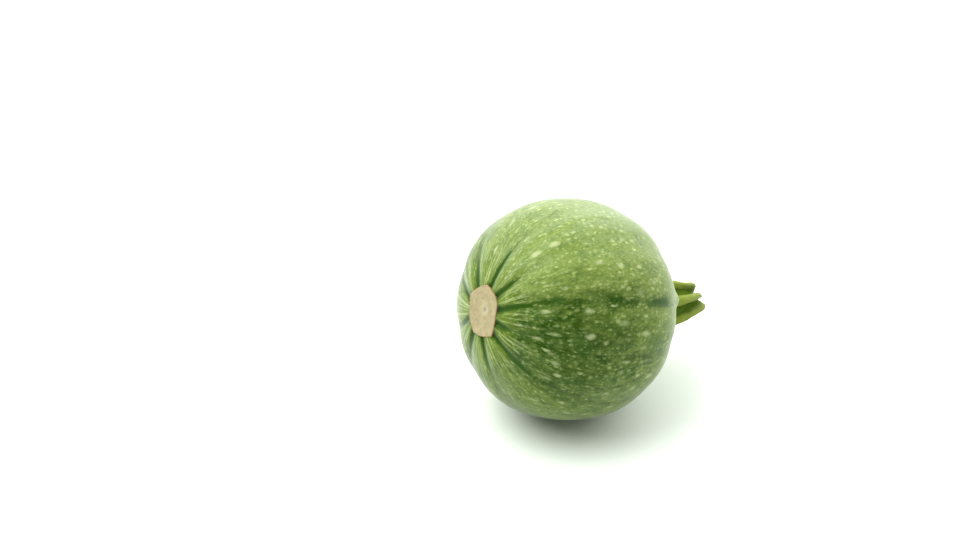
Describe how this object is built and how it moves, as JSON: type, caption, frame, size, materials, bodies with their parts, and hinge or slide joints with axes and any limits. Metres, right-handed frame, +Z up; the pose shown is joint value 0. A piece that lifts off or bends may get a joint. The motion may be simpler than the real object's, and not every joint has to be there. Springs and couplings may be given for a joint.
{
  "type": "round zucchini",
  "caption": "Round zucchini as picked, lying on its side, with furrows that run from its blossom scar and a ridged stub of stem.",
  "frame": {"origin": "centre of the small flat that the fruit rests on, under the middle of its globe", "axes": "+X from the blossom scar towards the stem, level, and +Z up, with the fruit lying on its side"},
  "size_m": [0.1104, 0.09, 0.0904],
  "materials": {
    "rind": "thin waxy rind, satin, dark green with pale flecks and dark lines from pole to pole",
    "stem_skin": "firm ridged stalk, satin, yellow-green with a paler pithy cut",
    "cork": "dry matt tan cork of the blossom scar, on the fruit's blossom end"
  },
  "bodies": {
    "root": {"fruit": "rind", "stem": "stem_skin"}
  },
  "joints": []
}
